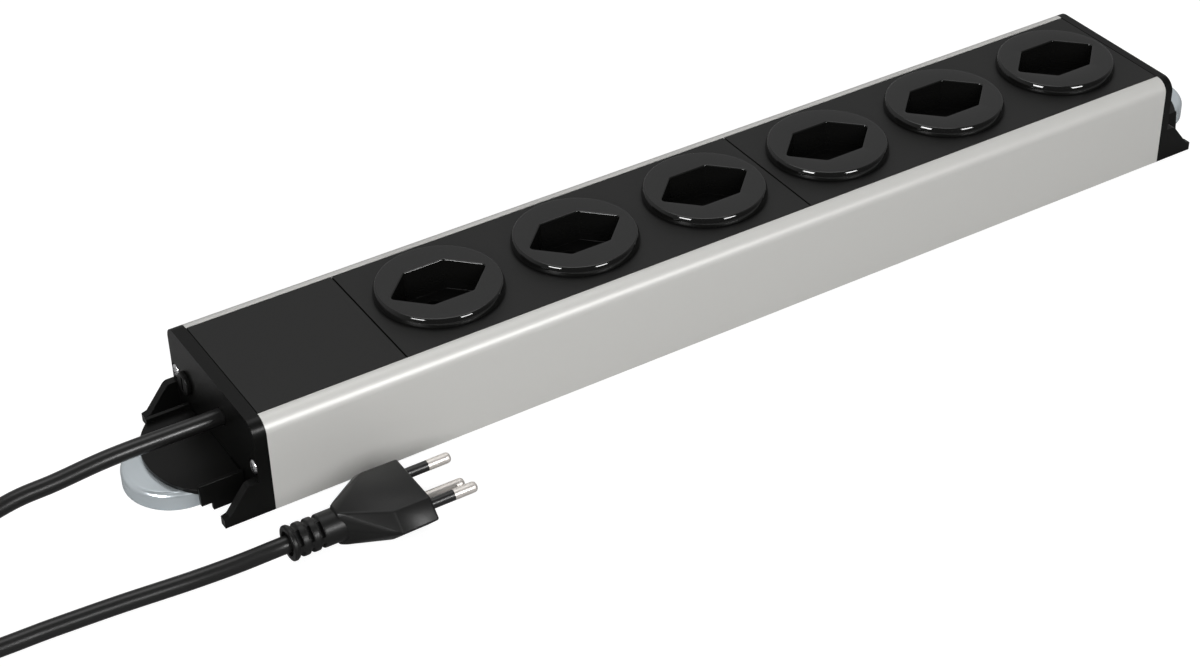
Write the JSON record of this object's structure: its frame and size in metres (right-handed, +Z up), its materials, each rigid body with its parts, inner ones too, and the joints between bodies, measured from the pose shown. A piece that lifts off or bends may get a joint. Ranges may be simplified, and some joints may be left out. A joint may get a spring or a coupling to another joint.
{
  "type": "desk power strip",
  "caption": "Aluminium desk power strip with earthed sockets, a blank cover cell, magnet brackets at both ends and a black lead with a three-pin plug.",
  "frame": {"origin": "centre of the profile's underside, on the plane the strip stands on", "axes": "+X along the strip, away from the lead; +Y towards the earth holes of the sockets; +Z up, out of the socket faces"},
  "size_m": [0.5923, 0.1169, 0.0419],
  "materials": {
    "aluminium": "satin anodised",
    "matte_black": "fine matt moulding",
    "gloss_black": "satin top with a polished rim",
    "cap_black": "satin moulding",
    "inner_grey": "matt moulding",
    "spring_steel": "spring steel",
    "contact_brass": "bare brass",
    "screw_steel": "zinc plated",
    "zinc_plate": "bright zinc plating",
    "ferrite": "ceramic magnet",
    "cable_pvc": "satin sheath",
    "plug_pvc": "satin moulding",
    "pin_nickel": "nickel plated",
    "pin_sleeve": "satin",
    "wire_brown": "insulation",
    "wire_blue": "insulation",
    "wire_green": "insulation"
  },
  "bodies": {
    "strip": {"profile": "aluminium", "blank_cover": "matte_black", "socket_plate_a": "matte_black", "socket_plate_b": "matte_black", "socket_insert_1": "gloss_black", "shutter_spring_1": "spring_steel", "socket_insert_2": "gloss_black", "shutter_spring_2": "spring_steel", "socket_insert_3": "gloss_black", "shutter_spring_3": "spring_steel", "socket_insert_4": "gloss_black", "shutter_spring_4": "spring_steel", "socket_insert_5": "gloss_black", "shutter_spring_5": "spring_steel", "socket_insert_6": "gloss_black", "shutter_spring_6": "spring_steel", "contact_carrier_a": "inner_grey", "contact_carrier_b": "inner_grey", "busbar_line": "contact_brass", "busbar_neutral": "contact_brass", "busbar_earth": "contact_brass", "earth_screw": "screw_steel", "end_cap_left": "cap_black", "cap_screw_left_front": "screw_steel", "cap_screw_left_back": "screw_steel", "magnet_bracket_left": "cap_black", "magnet_cup_left": "zinc_plate", "magnet_core_left": "ferrite", "magnet_screw_left": "screw_steel", "end_cap_right": "cap_black", "cap_screw_right_front": "screw_steel", "cap_screw_right_back": "screw_steel", "magnet_bracket_right": "cap_black", "magnet_cup_right": "zinc_plate", "magnet_core_right": "ferrite", "magnet_screw_right": "screw_steel", "vent_plug": "cap_black", "cable_clamp": "inner_grey", "clamp_screw_a": "screw_steel", "clamp_screw_b": "screw_steel", "cable": "cable_pvc", "wire_line": "wire_brown", "wire_neutral": "wire_blue", "wire_earth": "wire_green", "plug_body": "plug_pvc", "plug_strain_relief": "plug_pvc", "plug_pin_line": "pin_nickel", "plug_pin_neutral": "pin_nickel", "plug_pin_earth": "pin_nickel", "pin_sleeve_line": "pin_sleeve", "pin_sleeve_neutral": "pin_sleeve"},
    "shutter_1": {"shutter_1": "matte_black"},
    "shutter_2": {"shutter_2": "matte_black"},
    "shutter_3": {"shutter_3": "matte_black"},
    "shutter_4": {"shutter_4": "matte_black"},
    "shutter_5": {"shutter_5": "matte_black"},
    "shutter_6": {"shutter_6": "matte_black"}
  },
  "joints": [
    {"name": "shutter_1_slide", "type": "slide", "parent": "strip", "child": "shutter_1", "axis": [0, -1, 0], "range_m": [0, 0.005], "stiffness_N_per_m": 120, "springref_m": -0.002, "deforming": ["shutter_spring_1"]},
    {"name": "shutter_2_slide", "type": "slide", "parent": "strip", "child": "shutter_2", "axis": [0, -1, 0], "range_m": [0, 0.005], "stiffness_N_per_m": 120, "springref_m": -0.002, "deforming": ["shutter_spring_2"]},
    {"name": "shutter_3_slide", "type": "slide", "parent": "strip", "child": "shutter_3", "axis": [0, -1, 0], "range_m": [0, 0.005], "stiffness_N_per_m": 120, "springref_m": -0.002, "deforming": ["shutter_spring_3"]},
    {"name": "shutter_4_slide", "type": "slide", "parent": "strip", "child": "shutter_4", "axis": [0, -1, 0], "range_m": [0, 0.005], "stiffness_N_per_m": 120, "springref_m": -0.002, "deforming": ["shutter_spring_4"]},
    {"name": "shutter_5_slide", "type": "slide", "parent": "strip", "child": "shutter_5", "axis": [0, -1, 0], "range_m": [0, 0.005], "stiffness_N_per_m": 120, "springref_m": -0.002, "deforming": ["shutter_spring_5"]},
    {"name": "shutter_6_slide", "type": "slide", "parent": "strip", "child": "shutter_6", "axis": [0, -1, 0], "range_m": [0, 0.005], "stiffness_N_per_m": 120, "springref_m": -0.002, "deforming": ["shutter_spring_6"]}
  ]
}
